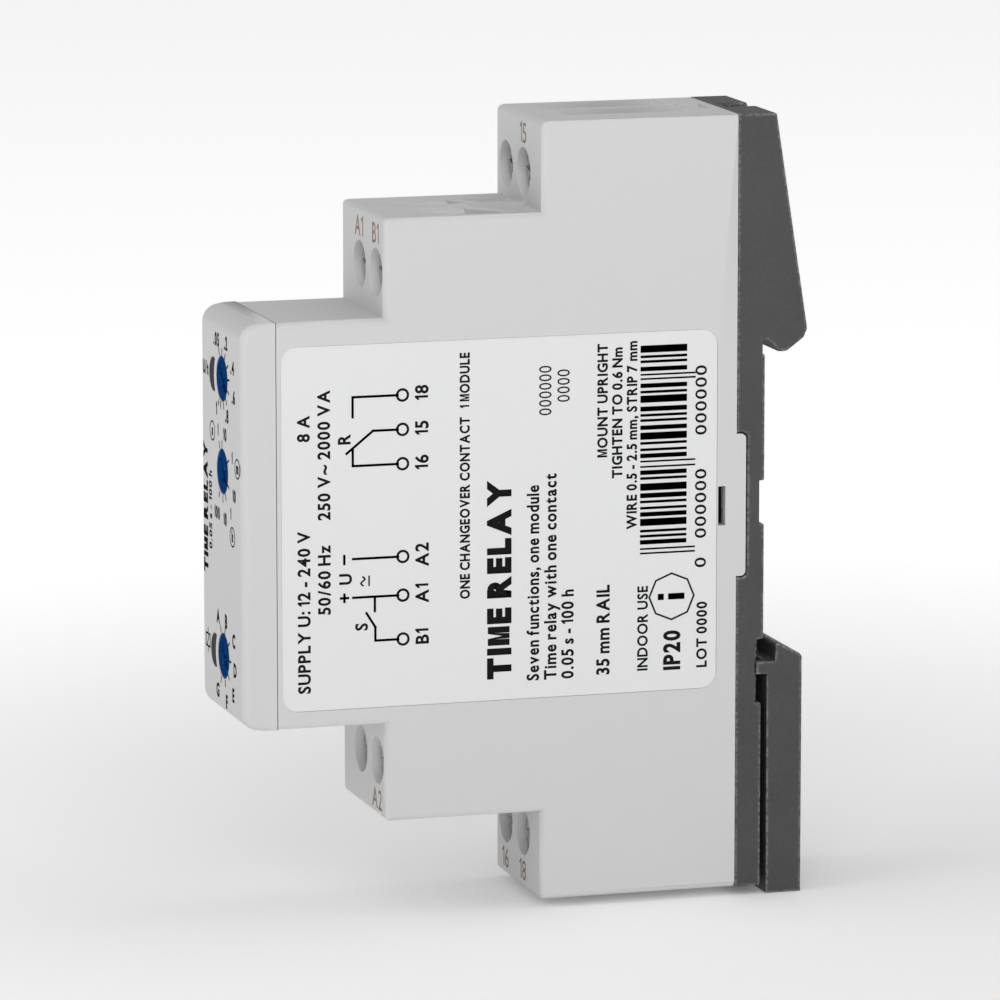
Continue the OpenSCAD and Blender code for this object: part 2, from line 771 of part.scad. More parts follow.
module resistors() {
    r = 1.1;
    color("peru") for (p = [[resistor_y, -11.6], [resistor_y, -14.6], [resistor_y - 7, 14.6]])
        translate([board_face + r + 0.15, p[0], p[1]]) union() {
            rod_y(r, -3, 3);
            rod_y(0.3, -3.9, 3.9);
            for (s = [-1, 1]) translate([-r - 0.15, s * 3.6, 0]) rotate([0, 90, 0])
                cylinder(r = 0.3, h = r + 0.15);
        }
}

module upright_capacitor(r, h, y, z, tint) {
    color(tint) translate([board_face, y, z]) rotate([0, 90, 0]) union() {
        cylinder(r = r, h = 1.6);
        cylinder(r = r - 0.25, h = 2.4);
        translate([0, 0, 2.2]) cylinder(r = r, h = h - 2.2);
    }
}

module supply_capacitor() {
    upright_capacitor(big_capacitor_r, 12, supply_capacitor_y, 8, "midnightblue");
}

module output_capacitor() {
    upright_capacitor(small_capacitor_r, 11, output_capacitor_y, -5.4, "black");
}

module film_capacitor() {
    color("gold") on_board(10.5, 4.6, 13, film_capacitor_y, 10.8);
}

module rectifier() {
    color("black") on_board(3.2, 6.3, 8.3, rectifier_y, -10.2);
}

module varistor() {
    r = 3.6;
    color("steelblue") translate([board_face, varistor_y, 20.4]) union() {
        translate([r + 1.2, 0, 0]) cylinder(r = r, h = 3.4);
        for (s = [-1, 1]) translate([0, s * 2, 1.7]) rotate([0, 90, 0]) cylinder(r = 0.35, h = 3);
    }
}

module transformer_core() {
    color("dimgray") translate([board_face + transformer_mid, transformer_y, transformer_z])
        difference() {
            translate([-3.1, -6.1, -6.6]) cube([6.2, 12.2, 13.2]);
            for (s = [-1, 1]) translate([-4, -4.3, s * 3.4 - 1.7]) cube([8, 8.6, 3.4]);
        }
}

module transformer_coil() {
    color("khaki") translate([board_face + transformer_mid, transformer_y, transformer_z])
        difference() {
            translate([-transformer_mid, -4.2, -5]) cube([transformer_mid + 4.9, 8.4, 10]);
            translate([-3.2, -5, -1.8]) cube([6.4, 10, 3.6]);
            for (s = [-1, 1]) translate([-transformer_mid - 1, -5, s * 4.9 - 0.7])
                cube([1.6, 10, 1.4]);
        }
}

// ---- Relay, drawn with its own X up from the board and Z along its length ----

module in_relay() {
    translate([board_face, relay_y, relay_z]) children();
}

module relay_box(h0, h1, w, z0, z1) {
    translate([h0, -w / 2, z0]) cube([h1 - h0, w, z1 - z0]);
}

module relay_base() {
    inset = relay_skin + 0.05;
    color("black") in_relay()
        relay_box(0, relay_floor, relay_w - 2 * inset, -relay_l / 2 + inset, relay_l / 2 - inset);
}

module relay_cover() {
    color("slategray") in_relay() difference() {
        relay_box(0.3, relay_h, relay_w, -relay_l / 2, relay_l / 2);
        relay_box(-1, relay_room_h, relay_w - 2 * relay_skin,
                  -relay_l / 2 + relay_skin, relay_l / 2 - relay_skin);
    }
}

module relay_bobbin() {
    color("ivory") in_relay() difference() {
        union() {
            for (z = [coil_low, coil_high - 1])
                relay_box(relay_floor + 0.05, yoke_in - 0.05, 8, z, z + 1);
            translate([coil_h, 0, coil_low]) cylinder(r = 2.1, h = coil_high - coil_low);
        }
        translate([coil_h, 0, coil_low - 1]) cylinder(r = 1.6, h = coil_high - coil_low + 2);
    }
}

module relay_coil() {
    color("chocolate") in_relay() translate([coil_h, 0, coil_low + 1]) difference() {
        cylinder(r = 3.1, h = coil_high - coil_low - 2);
        translate([0, 0, -1]) cylinder(r = 2.1, h = coil_high - coil_low);
    }
}

module relay_core() {
    color("silver") in_relay() translate([coil_h, 0, coil_low - 0.1])
        cylinder(r = 1.55, h = pole_z - coil_low + 0.1);
}

module relay_yoke() {
    color("silver") in_relay() union() {
        relay_box(yoke_in, yoke_in + yoke_t, 7, coil_low - 0.85, armature_z - 0.2);
        relay_box(relay_floor + 0.05, yoke_in + eps, 7, coil_low - 0.85, coil_low - 0.1);
    }
}

module relay_armature() {
    color("darkgray") in_relay()
        relay_box(relay_floor + 0.5, yoke_in + yoke_t - 0.1, 6.8,
                  armature_z, armature_z + armature_t);
}

module relay_contact_arm() {
    rest = armature_z + armature_t;
    color("goldenrod") in_relay() union() {
        relay_box(arm_h - 2.4, arm_h + arm_t, 3, rest, rest + arm_t);
        relay_box(arm_h, arm_h + arm_t, 3, rest, contact_z + 0.9);
        translate([arm_h - 0.5, 0, contact_z]) rotate([0, 90, 0])
            cylinder(r = contact_r, h = arm_t + 1);
    }
}

module relay_fixed_contacts() {
    closed_h = arm_h + arm_t + 0.6;
    open_h = arm_h - 0.5 - 0.95;
    color("goldenrod") in_relay() {
        union() {
            relay_box(closed_h + 0.4, closed_h + 0.7, 3, contact_z - 1, contact_z + 2);
            relay_box(relay_floor, closed_h + 0.7, 3, contact_z + 1.7, contact_z + 2);
            translate([closed_h, 0, contact_z]) rotate([0, 90, 0]) cylinder(r = contact_r, h = 0.5);
        }
        union() {
            relay_box(open_h - 0.7, open_h - 0.4, 3, contact_z - 2.4, contact_z + 0.9);
            relay_box(relay_floor, open_h - 0.4, 3, contact_z - 2.4, contact_z - 2.1);
            translate([open_h - 0.5, 0, contact_z]) rotate([0, 90, 0])
                cylinder(r = contact_r, h = 0.5);
        }
    }
}

housing();
front_cap();
base_plate();
rail_slider();
slider_spring();
rating_label();
knob(time_z);  // time_knob
knob(range_z);  // range_knob
knob(function_z);  // function_knob
trimmer(time_z);  // time_trimmer
trimmer(range_z);  // range_trimmer
trimmer(function_z);  // function_trimmer
rotor(time_z);  // time_rotor
rotor(range_z);  // range_rotor
rotor(function_z);  // function_rotor
light_guide(time_z);  // supply_light_guide
light_guide(function_z);  // output_light_guide
led(time_z, "limegreen");  // supply_led
led(function_z, "red");  // output_led
main_board();
front_board();
board_header();
microcontroller();
resistors();
relay_base();
relay_cover();
relay_bobbin();
relay_coil();
relay_yoke();
relay_core();
relay_armature();
relay_contact_arm();
relay_fixed_contacts();
transformer_core();
transformer_coil();
film_capacitor();
supply_capacitor();
output_capacitor();
varistor();
rectifier();
terminal_tongues();
screw(A1);  // screw_a1
screw(B1);  // screw_b1
screw(T15);  // screw_15
screw(SPARE_TOP);  // screw_spare_top
screw(A2);  // screw_a2
screw(SPARE_BOTTOM);  // screw_spare_bottom
screw(T16);  // screw_16
screw(T18);  // screw_18
cage(A1);  // cage_a1
cage(B1);  // cage_b1
cage(T15);  // cage_15
cage(SPARE_TOP);  // cage_spare_top
cage(A2);  // cage_a2
cage(SPARE_BOTTOM);  // cage_spare_bottom
cage(T16);  // cage_16
cage(T18);  // cage_18
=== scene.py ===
import json
import math

import bmesh
import bpy
from mathutils import Matrix, Vector

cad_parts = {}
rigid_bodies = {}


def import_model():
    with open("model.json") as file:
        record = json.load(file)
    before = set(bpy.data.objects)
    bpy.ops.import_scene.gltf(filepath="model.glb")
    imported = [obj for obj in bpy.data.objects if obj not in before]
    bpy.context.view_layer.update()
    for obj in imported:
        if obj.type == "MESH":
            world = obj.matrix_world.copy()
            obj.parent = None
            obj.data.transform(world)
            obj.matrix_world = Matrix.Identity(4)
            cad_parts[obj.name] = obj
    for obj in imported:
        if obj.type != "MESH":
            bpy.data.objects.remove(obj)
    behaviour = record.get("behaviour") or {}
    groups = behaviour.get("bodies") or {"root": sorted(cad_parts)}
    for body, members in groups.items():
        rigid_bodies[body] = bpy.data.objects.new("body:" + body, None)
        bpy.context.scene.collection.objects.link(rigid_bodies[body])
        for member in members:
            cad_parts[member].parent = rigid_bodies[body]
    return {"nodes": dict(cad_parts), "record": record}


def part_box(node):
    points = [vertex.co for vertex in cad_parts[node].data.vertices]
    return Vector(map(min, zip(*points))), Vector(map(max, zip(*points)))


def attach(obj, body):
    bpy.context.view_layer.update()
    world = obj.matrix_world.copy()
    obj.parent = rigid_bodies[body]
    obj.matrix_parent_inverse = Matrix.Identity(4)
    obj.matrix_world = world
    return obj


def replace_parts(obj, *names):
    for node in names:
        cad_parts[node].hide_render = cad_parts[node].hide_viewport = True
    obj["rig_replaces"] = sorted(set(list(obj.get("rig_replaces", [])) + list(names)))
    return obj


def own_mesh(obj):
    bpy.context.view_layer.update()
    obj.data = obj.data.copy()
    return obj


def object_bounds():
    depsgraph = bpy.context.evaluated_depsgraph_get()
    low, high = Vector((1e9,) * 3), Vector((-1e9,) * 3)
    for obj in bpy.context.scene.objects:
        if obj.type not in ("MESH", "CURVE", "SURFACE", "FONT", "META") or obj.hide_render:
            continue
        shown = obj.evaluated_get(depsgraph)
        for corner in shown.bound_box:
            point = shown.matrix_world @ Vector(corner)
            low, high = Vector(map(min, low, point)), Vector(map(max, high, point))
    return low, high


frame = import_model()
cad_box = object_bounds()
collection = bpy.context.scene.collection
MM = 0.001


# ---- Camera ----
# A long lens stands to the right of the timer and a little above it, so that the narrow front, the
# stepped terminals, the rated side and the rail fixing all show.

view_azimuth = math.radians(73.347)
view_elevation = math.radians(9.843)
view_distance = 790.09 * MM
aim = Vector((-0.05, -28.03, 0.24)) * MM

toward_camera = Vector((
    math.sin(view_azimuth) * math.cos(view_elevation),
    -math.cos(view_azimuth) * math.cos(view_elevation),
    math.sin(view_elevation),
))
lens = bpy.data.cameras.new("camera")
lens.lens = 256.02
lens.sensor_width = 36
lens.clip_start = 0.01
lens.clip_end = 50
camera = bpy.data.objects.new("camera", lens)
camera.location = aim + toward_camera * view_distance
camera.rotation_euler = (-toward_camera).to_track_quat("-Z", "Y").to_euler()
collection.objects.link(camera)
bpy.context.scene.camera = camera


# ---- Studio ----
# A white table and a bright room, with three soft panels: a wide one on the right-hand side, one in
# front and one overhead. The table also has a painted glow from emission, faint close to the timer
# and brighter further out, which paints a darker pool round the timer. The timer stands on its base
# as it does on a workbench.

table_radius = 6
floor_shape = bmesh.new()
bmesh.ops.create_circle(floor_shape, cap_ends=True, segments=64, radius=table_radius)
bmesh.ops.translate(floor_shape, verts=floor_shape.verts, vec=(0, 0, cad_box[0].z - 0.02 * MM))
floor_mesh = bpy.data.meshes.new("floor")
floor_shape.to_mesh(floor_mesh)
floor_shape.free()
floor = bpy.data.objects.new("floor", floor_mesh)
collection.objects.link(floor)

floor_paint = bpy.data.materials.new("floor_paint")
floor_paint.use_nodes = True
floor_shader = floor_paint.node_tree.nodes["Principled BSDF"]
floor_shader.inputs["Base Color"].default_value = (0.93, 0.93, 0.93, 1)
floor_shader.inputs["Roughness"].default_value = 0.85
floor_shader.inputs["Emission Strength"].default_value = 1
floor_nodes, floor_link = floor_paint.node_tree.nodes, floor_paint.node_tree.links.new
floor_place = floor_nodes.new("ShaderNodeTexCoord")
floor_flat = floor_nodes.new("ShaderNodeVectorMath")
floor_flat.operation = "MULTIPLY"
floor_flat.inputs[1].default_value = (1, 1, 0)
floor_reach = floor_nodes.new("ShaderNodeVectorMath")
floor_reach.operation = "LENGTH"
# Painted glow: the floor's emission rises with distance from the timer, which leaves painted shade
# close to it.
floor_glow = floor_nodes.new("ShaderNodeMapRange")
floor_glow.interpolation_type = "SMOOTHSTEP"
floor_glow.inputs["From Min"].default_value = 0.04
floor_glow.inputs["From Max"].default_value = 0.25
floor_glow.inputs["To Min"].default_value = 0.1
floor_glow.inputs["To Max"].default_value = 0.4
floor_link(floor_place.outputs["Object"], floor_flat.inputs[0])
floor_link(floor_flat.outputs[0], floor_reach.inputs[0])
floor_link(floor_reach.outputs["Value"], floor_glow.inputs["Value"])
floor_link(floor_glow.outputs["Result"], floor_shader.inputs["Emission Color"])
floor_mesh.materials.append(floor_paint)

bpy.context.scene.view_settings.view_transform = "Standard"
room = bpy.data.worlds.new("room")
room.use_nodes = True
room.node_tree.nodes["Background"].inputs["Color"].default_value = (1, 1, 1, 1)
room.node_tree.nodes["Background"].inputs["Strength"].default_value = 0.46
bpy.context.scene.world = room


def soft_panel(name, place, size, power):
    """A square light panel at place, turned towards the middle of the timer."""
    light = bpy.data.lights.new(name, "AREA")
    light.shape = "SQUARE"
    light.size = size
    light.energy = power
    panel = bpy.data.objects.new(name, light)
    panel.location = place
    panel.rotation_euler = (aim - Vector(place)).to_track_quat("-Z", "Y").to_euler()
    collection.objects.link(panel)


soft_panel("side_panel", (1.0, -0.2, 0.4), 0.8, 4.4)
soft_panel("front_panel", (0.1, -0.9, 0.75), 0.7, 2.1)
soft_panel("top_panel", (0.1, 0.5, 1.0), 0.9, 1.6)


# ---- Housing ----
# The grey shell is one deep moulding in matt polyamide, open at the back and at the front. Its outer
# edges are rounded in the mould, and each driver hole and wire entry has a soft lip.

housing_edge_r = 0.64 * MM
hole_lip_r = 0.14 * MM
seam_lip_r = 0.06 * MM
housing_grey = (0.59, 0.59, 0.59, 1)
half_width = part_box("housing")[1].x
near = 0.02 * MM


def grain_group():
    """Colour, roughness and height of a moulded surface: slow tone changes, flecks and fine grain."""
    group = bpy.data.node_groups.new("moulded_grain", "ShaderNodeTree")
    face = group.interface
    face.new_socket("Colour", in_out="INPUT", socket_type="NodeSocketColor")
    for socket in ("Tone", "Fleck", "Roughness", "Roughness spread", "Grain scale"):
        face.new_socket(socket, in_out="INPUT", socket_type="NodeSocketFloat")
    face.new_socket("Colour", in_out="OUTPUT", socket_type="NodeSocketColor")
    face.new_socket("Roughness", in_out="OUTPUT", socket_type="NodeSocketFloat")
    face.new_socket("Height", in_out="OUTPUT", socket_type="NodeSocketFloat")
    node, link = group.nodes.new, group.links.new
    given, result = node("NodeGroupInput"), node("NodeGroupOutput")
    place = node("ShaderNodeTexCoord")
    slow = node("ShaderNodeTexNoise")
    slow.inputs["Scale"].default_value = 160
    slow.inputs["Detail"].default_value = 3
    fine = node("ShaderNodeTexNoise")
    fine.inputs["Detail"].default_value = 2
    link(place.outputs["Object"], slow.inputs["Vector"])
    link(place.outputs["Object"], fine.inputs["Vector"])
    link(given.outputs["Grain scale"], fine.inputs["Scale"])

    def swing(noise, amount):
        """The noise about its middle, times an amount."""
        centred = node("ShaderNodeMath")
        centred.operation = "SUBTRACT"
        centred.inputs[1].default_value = 0.5
        scaled = node("ShaderNodeMath")
        scaled.operation = "MULTIPLY"
        link(noise, centred.inputs[0])
        link(centred.outputs[0], scaled.inputs[0])
        link(given.outputs[amount], scaled.inputs[1])
        return scaled.outputs[0]

    tone = node("ShaderNodeMath")
    tone.operation = "ADD"
    link(swing(slow.outputs["Fac"], "Tone"), tone.inputs[0])
    link(swing(fine.outputs["Fac"], "Fleck"), tone.inputs[1])
    level = node("ShaderNodeMath")
    level.operation = "ADD"
    level.inputs[1].default_value = 1
    link(tone.outputs[0], level.inputs[0])
    tinted = node("ShaderNodeVectorMath")
    tinted.operation = "SCALE"
    link(given.outputs["Colour"], tinted.inputs[0])
    link(level.outputs[0], tinted.inputs["Scale"])
    rough = node("ShaderNodeMath")
    rough.operation = "ADD"
    link(given.outputs["Roughness"], rough.inputs[0])
    link(swing(fine.outputs["Fac"], "Roughness spread"), rough.inputs[1])
    link(tinted.outputs[0], result.inputs["Colour"])
    link(rough.outputs[0], result.inputs["Roughness"])
    link(fine.outputs["Fac"], result.inputs["Height"])
    return group


def edge_highlight_group():
    """A mask that rises on the rounded edges of a piece, broken up by fine noise: a painted highlight
    along the edges.
    """
    group = bpy.data.node_groups.new("edge_highlight", "ShaderNodeTree")
    face = group.interface
    for socket in ("Width", "Amount", "Break up"):
        face.new_socket(socket, in_out="INPUT", socket_type="NodeSocketFloat")
    face.new_socket("Mask", in_out="OUTPUT", socket_type="NodeSocketFloat")
    node, link = group.nodes.new, group.links.new
    given, result = node("NodeGroupInput"), node("NodeGroupOutput")
    # The mask rises where the bevelled normal turns away from the face normal, which paints a
    # highlight along the rounded edges.
    rounded = node("ShaderNodeBevel")
    rounded.samples = 4
    flat = node("ShaderNodeNewGeometry")
    facing = node("ShaderNodeVectorMath")
    facing.operation = "DOT_PRODUCT"
    link(given.outputs["Width"], rounded.inputs["Radius"])
    link(rounded.outputs["Normal"], facing.inputs[0])
    link(flat.outputs["Normal"], facing.inputs[1])
    turn = node("ShaderNodeMapRange")
    turn.inputs["From Min"].default_value = 0.999
    turn.inputs["From Max"].default_value = 0.93
    link(facing.outputs["Value"], turn.inputs["Value"])
    place = node("ShaderNodeTexCoord")
    speckle = node("ShaderNodeTexNoise")
    speckle.inputs["Scale"].default_value = 2600
    link(place.outputs["Object"], speckle.inputs["Vector"])
    highlight_amount = node("ShaderNodeMapRange")
    highlight_amount.inputs["From Max"].default_value = 0.62
    link(given.outputs["Break up"], highlight_amount.inputs["From Min"])
    link(speckle.outputs["Fac"], highlight_amount.inputs["Value"])
    both = node("ShaderNodeMath")
    both.operation = "MULTIPLY"
    link(turn.outputs["Result"], both.inputs[0])
    link(highlight_amount.outputs["Result"], both.inputs[1])
    strength = node("ShaderNodeMath")
    strength.operation = "MULTIPLY"
    link(both.outputs[0], strength.inputs[0])
    link(given.outputs["Amount"], strength.inputs[1])
    link(strength.outputs[0], result.inputs["Mask"])
    return group


moulded_grain = grain_group()
edge_highlight = edge_highlight_group()


def moulded(name, colour, roughness, tone=0.04, fleck=0.05, spread=0.1, grain=5200, depth=0.03,
            highlight_colour=None, highlight_amount=0.0, highlight_width=0.25 * MM):
    """A moulded or pressed finish: grained colour and height, with a painted highlight lightening its
    edges when an edge colour is given.
    """
    material = bpy.data.materials.new(name)
    material.use_nodes = True
    nodes, link = material.node_tree.nodes, material.node_tree.links.new
    shader = nodes["Principled BSDF"]
    surface = nodes.new("ShaderNodeGroup")
    surface.node_tree = moulded_grain
    for socket, value in (("Colour", colour), ("Tone", tone), ("Fleck", fleck),
                          ("Roughness", roughness), ("Roughness spread", spread),
                          ("Grain scale", grain)):
        surface.inputs[socket].default_value = value
    bump = nodes.new("ShaderNodeBump")
    bump.inputs["Strength"].default_value = depth
    bump.inputs["Distance"].default_value = 0.05 * MM
    link(surface.outputs["Height"], bump.inputs["Height"])
    link(bump.outputs["Normal"], shader.inputs["Normal"])
    link(surface.outputs["Roughness"], shader.inputs["Roughness"])
    if highlight_colour is None:
        link(surface.outputs["Colour"], shader.inputs["Base Color"])
        return material
    # Painted highlight: the edge mask blends the colour towards a lighter one along the rounded
    # edges.
    edge = nodes.new("ShaderNodeGroup")
    edge.node_tree = edge_highlight
    edge.inputs["Width"].default_value = highlight_width
    edge.inputs["Amount"].default_value = highlight_amount
    edge.inputs["Break up"].default_value = 0.38
    blend = nodes.new("ShaderNodeMix")
    blend.data_type = "RGBA"
    blend.inputs["B"].default_value = highlight_colour
    link(edge.outputs["Mask"], blend.inputs["Factor"])
    link(surface.outputs["Colour"], blend.inputs["A"])
    link(blend.outputs["Result"], shader.inputs["Base Color"])
    return material


def cad_shape(node):
    """A joined-up copy of a CAD node's shape, with its flat faces whole again."""
    shape = bmesh.new()
    shape.from_mesh(frame["nodes"][node].data)
    bmesh.ops.remove_doubles(shape, verts=shape.verts, dist=0.002 * MM)
    bmesh.ops.dissolve_limit(shape, verts=shape.verts, edges=shape.edges,
                             angle_limit=math.radians(0.5))
    return shape


def finished(name, shape, body, material, stands_for=()):
    """Makes a piece of a shape, and puts it on its body in place of its CAD nodes."""
    mesh = bpy.data.meshes.new(name)
    shape.to_mesh(mesh)
    shape.free()
    mesh.materials.append(material)
    piece = bpy.data.objects.new(name, mesh)
    collection.objects.link(piece)
    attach(piece, body)
    if stands_for:
        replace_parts(piece, *stands_for)
    return piece


def rounded(piece, rounding, widest, segments=3):
    """Rounds the sharp outer edges of a piece. rounding(edge) gives each one's radius, or 0."""
    shape = bmesh.new()
    shape.from_mesh(piece.data)
    weight = shape.edges.layers.float.new("bevel_weight_edge")
    for edge in shape.edges:
        if len(edge.link_faces) != 2 or edge.calc_face_angle_signed(0) < math.radians(25):
            continue
        edge[weight] = rounding(edge) / widest
    for f in shape.faces:
        f.smooth = True
    for edge in shape.edges:
        edge.smooth = len(edge.link_faces) == 2 and abs(edge.calc_face_angle(0)) < math.radians(25)
    shape.to_mesh(piece.data)
    shape.free()
    bevel = piece.modifiers.new("rounding", "BEVEL")
    bevel.limit_method = "WEIGHT"
    bevel.width = widest
    bevel.segments = segments
    bevel.profile = 0.5
    bevel.use_clamp_overlap = False
    bevel.harden_normals = True
    return piece


def on_side(edge):
    """True for an edge that lies in one of the housing's two flat sides."""
    return all(abs(abs(v.co.x) - half_width) < near for v in edge.verts)


seam_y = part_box("housing")[0].y
step_tops = (33.5 * MM, 43.5 * MM)
step_faces = (-43.8 * MM, -25.9 * MM)


def level_of(places, levels):
    """The one of levels that all the places share, or None."""
    for level in levels:
        if all(abs(place - level) < near for place in places):
            return level
    return None


label_edge_y = -55.9 * MM
label_edge_z = 21 * MM
back_area_y = -6 * MM
rim_y = -8 * MM
foot_gap = 0.4 * MM


def housing_rounding(edge):
    """Full rounding on the outline, a soft lip on holes, and crisp edges at seams and recesses."""
    ends = [v.co for v in edge.verts]
    top = level_of([abs(c.z) for c in ends], step_tops)
    face = level_of([c.y for c in ends], step_faces)
    if on_side(edge):
        if all(abs(c.y - seam_y) < near for c in ends):
            return seam_lip_r
        in_label = all(c.y > label_edge_y and abs(c.z) < label_edge_z for c in ends)
        at_back = all(c.y > back_area_y for c in ends)
        return 0 if in_label or at_back else housing_edge_r
    if top is not None and face is not None:
        return housing_edge_r
    if face is not None:
        return hole_lip_r
    if top is not None and not any(abs(c.y - step_faces[1]) < foot_gap for c in ends):
        return hole_lip_r if all(c.y < rim_y for c in ends) else 0
    return 0


housing_plastic = moulded("housing_plastic", housing_grey, 0.52, tone=0.015, fleck=0.03)
housing = finished("housing_shell", cad_shape("housing"), "timer",
                   housing_plastic, ["housing"])
rounded(housing, housing_rounding, housing_edge_r)


# ---- Front cap ----
# The cap is a shallow moulding in the same grey that drops into the housing's mouth and carries the
# printed scales. Its top and bottom edges are well rounded and its sides a little less.

cap_side_r = 0.9 * MM
knob_hole_lip_r = 0.08 * MM
face_depth = 0.1 * MM
cap_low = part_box("front_cap")[0]
print_t = 0.012 * MM  # the cap's face stands back by the thickness of its ink


def cap_rounding(edge):
    """Rounding of the cap's side edges, with fine lips on its knob holes and light windows."""
    ends = [v.co for v in edge.verts]
    if all(abs(c.y - seam_y) < near for c in ends):
        return seam_lip_r
    if on_side(edge) and all(c.y < seam_y - near for c in ends):
        return cap_side_r
    if all(c.y < cap_low.y + face_depth for c in ends) and not on_side(edge):
        return knob_hole_lip_r
    return 0


cap_shape = cad_shape("front_cap")
bmesh.ops.translate(cap_shape, verts=[v for v in cap_shape.verts if v.co.y < cap_low.y + near],
                    vec=(0, print_t, 0))
cap_plastic = moulded("cap_plastic", housing_grey, 0.5, tone=0.015, fleck=0.03)
cap = finished("front_cap_shell", cap_shape, "timer", cap_plastic, ["front_cap"])
rounded(cap, cap_rounding, cap_side_r, segments=4)


# ---- Base plate ----
# The dark base is glass-filled polyamide, a little mottled, with a painted highlight that lightens
# its edges to grey. It has the fixed rail hook at the top and guides the slider at the bottom.

base_dark = (0.045, 0.045, 0.046, 1)
base_edge_highlight = (0.3, 0.3, 0.29, 1)
base_edge_r = 0.2 * MM
base_front_y = -3.35 * MM


def base_rounding(edge):
    """One small rounding on every outer edge of the base plate."""
    return base_edge_r if all(v.co.y > base_front_y for v in edge.verts) else 0


# The lighter grey on the base's edges is a painted highlight, speckled along the rounding.
base_plastic = moulded("base_plastic", base_dark, 0.5, tone=0.5, fleck=0.6, spread=0.25,
                       grain=3000, depth=0.25, highlight_colour=base_edge_highlight, highlight_amount=1.0,
                       highlight_width=0.45 * MM)
# A near-black copy of the base plastic for the latch deep in the side slot: painted shade for the
# slot's shadow.
latch_painted_shade = moulded("latch_painted_shade", (0.009, 0.008, 0.008, 1), 0.8, tone=0.3, fleck=0.4,
                        grain=3000, depth=0.1)
latch_x, latch_y = 7.25 * MM, -3.6 * MM
latch_tip_x = 8 * MM
base_shape = cad_shape("base_plate")
for v in base_shape.verts:
    if abs(v.co.x) > latch_tip_x and v.co.y < latch_y:
        v.co.x = math.copysign(latch_x, v.co.x)
# The latch faces inside the slot take the second, near-black material: painted shade.
for f in base_shape.faces:
    f.material_index = int(all(abs(v.co.x) > latch_x - near and v.co.y < latch_y
                               for v in f.verts))
base = finished("base_plate_moulding", base_shape, "timer",
                base_plastic, ["base_plate"])
base.data.materials.append(latch_painted_shade)
latch_painted_shade.node_tree.nodes["Principled BSDF"].inputs["IOR"].default_value = 1.1
rounded(base, base_rounding, base_edge_r, segments=2)


# ---- Rail slider and its spring ----
# The slider is moulded in the same dark polyamide and snaps behind the rail's lower edge. A flat
# meander spring in its pocket pushes it up; in the real timer it shortens as the slider is pulled
# down, here it is one rigid piece on the timer's body.

slider_edge_r = 0.3 * MM
small_edge_r = 0.12 * MM
long_edge_min = 6 * MM
slider_back_y = 4 * MM
spring_edge_r = 0.1 * MM


def slider_rounding(edge):
    """A fuller rounding on the slider's long back edges than on its small ones."""
    long_edge = edge.calc_length() > long_edge_min
    at_back = all(v.co.y > slider_back_y for v in edge.verts)
    return slider_edge_r if long_edge and at_back else small_edge_r


slider = finished("rail_slider_moulding", cad_shape("rail_slider"), "rail_slider",
                  base_plastic, ["rail_slider"])
rounded(slider, slider_rounding, slider_edge_r, segments=3)

spring_steel = moulded("spring_steel", (0.55, 0.55, 0.56, 1), 0.3, tone=0.1, fleck=0.15,
                       grain=2400, depth=0.02)
spring_steel.node_tree.nodes["Principled BSDF"].inputs["Metallic"].default_value = 1
spring_shape = cad_shape("slider_spring")
spring_corners = [e for e in spring_shape.edges
                  if len(e.link_faces) == 2 and e.calc_face_angle(0) > math.radians(60)]
bmesh.ops.bevel(spring_shape, geom=spring_corners, offset=spring_edge_r, affect="EDGES",
                segments=2, profile=0.5, material=-1, clamp_overlap=True)
spring = finished("slider_return_spring", spring_shape, "timer",
                  spring_steel, ["slider_spring"])
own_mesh(spring)


# ---- Setting knobs ----
# Three deep blue moulded knobs sit flush in the cap. Each is turned with a screwdriver in its slot,
# and the wide end of the slot is the pointer.

knob_blue = (0.0015, 0.035, 0.15, 1)
knob_edge_r = 0.12 * MM

# The lighter blue on the knob's edges is a painted highlight: speckled glints along the rounding.
knob_plastic = moulded("knob_plastic", knob_blue, 0.3, tone=0.3, fleck=0.3, spread=0.15,
                       grain=2000, depth=0.1, highlight_colour=(0.02, 0.17, 0.48, 1), highlight_amount=1.0,
                       highlight_width=0.18 * MM)
knob_plastic.node_tree.nodes["Principled BSDF"].inputs["IOR"].default_value = 1.01
for setting in ("time", "range", "function"):
    knob = finished(setting + "_knob_cap", cad_shape(setting + "_knob"), setting + "_knob",
                    knob_plastic, [setting + "_knob"])
    rounded(knob, lambda edge: knob_edge_r, knob_edge_r, segments=2)


# ---- Printing ----
# Scales, symbols and terminal numbers are thin ink on the mouldings: black on the cap, and a warm
# grey on the terminal steps.

CAP_SHARE = 0.72  # height of a capital in the built-in typeface, as a share of its size

ink_black = moulded("ink_black", (0.012, 0.012, 0.012, 1), 0.55, fleck=0.2, depth=0.02)
ink_warm = moulded("ink_warm", (0.3, 0.23, 0.19, 1), 0.6, fleck=0.2, depth=0.02)
for ink in (ink_black, ink_warm):
    ink.node_tree.nodes["Principled BSDF"].inputs["IOR"].default_value = 1.01


